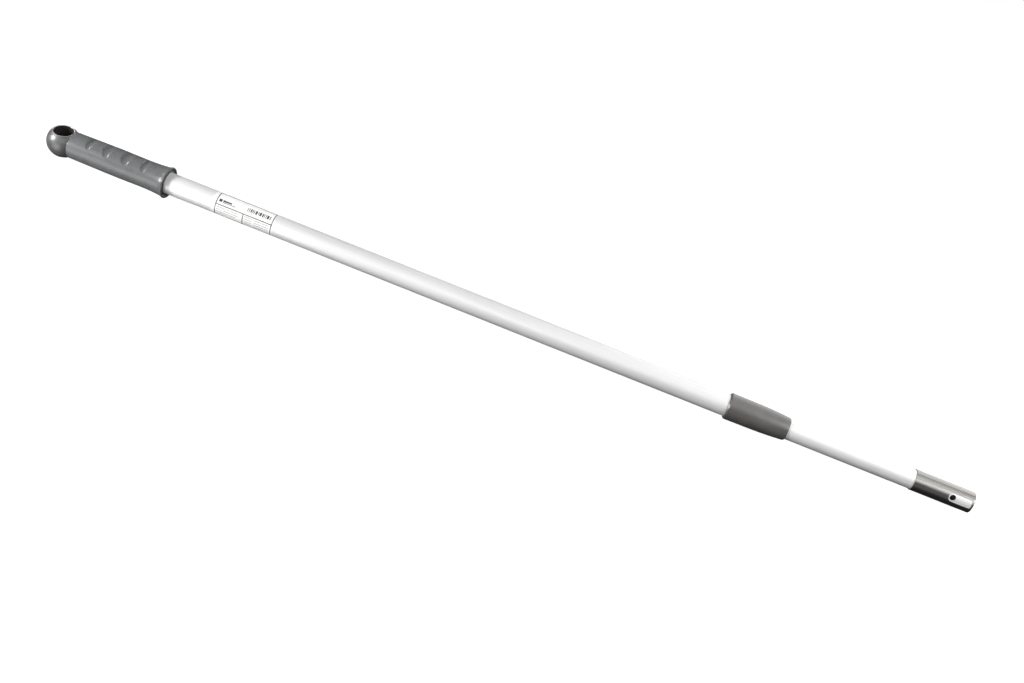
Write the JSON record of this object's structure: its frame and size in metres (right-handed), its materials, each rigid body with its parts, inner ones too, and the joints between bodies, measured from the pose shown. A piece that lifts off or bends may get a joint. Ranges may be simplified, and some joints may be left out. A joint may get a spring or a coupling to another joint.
{
  "type": "pole drywall sander",
  "caption": "Telescopic aluminium pole of a drywall sander: hang eye, moulded grip, twist-lock inner tube and a steel-sleeved socket for a push-button head.",
  "frame": {"origin": "centre of the hang eye, on the pole axis", "axes": "+X along the pole towards the tool end, +Z along the hole of the hang eye"},
  "size_m": [1.1066, 0.0376, 0.0372],
  "materials": {
    "tube_aluminium": "satin anodised",
    "grip_plastic": "satin grey",
    "eye_plastic": "glossy grey",
    "collar_plastic": "satin dark grey",
    "ferrule_steel": "polished dark steel",
    "label_film": "printed film",
    "lock_nylon": "natural nylon",
    "lock_acetal": "black acetal",
    "fastener_steel": "zinc plated"
  },
  "bodies": {
    "outer_section": {"hang_eye": "eye_plastic", "grip": "grip_plastic", "grip_screw": "fastener_steel", "outer_tube": "tube_aluminium", "label": "label_film", "collar": "collar_plastic", "guide_sleeve": "lock_nylon"},
    "glide": {"glide_disc": "lock_nylon"},
    "inner_section": {"inner_tube": "tube_aluminium", "ferrule": "ferrule_steel", "insert_plug": "lock_acetal", "cross_pin": "fastener_steel", "cam_core": "lock_acetal", "lock_washer": "fastener_steel", "lock_screw": "fastener_steel"},
    "brake": {"cam_ring": "lock_nylon"}
  },
  "joints": [
    {"name": "extension", "type": "slide", "parent": "outer_section", "child": "glide", "axis": [1, 0, 0], "range_m": [-0.1429, 0.499]},
    {"name": "twist", "type": "hinge", "parent": "glide", "child": "inner_section", "pos_m": [0.229, 0, 0], "axis": [1, 0, 0], "continuous": true},
    {"name": "cam_lock", "type": "hinge", "parent": "inner_section", "child": "brake", "pos_m": [0.2465, 0, 0.0012], "axis": [1, 0, 0], "range_deg": [-36.44, 0]}
  ]
}
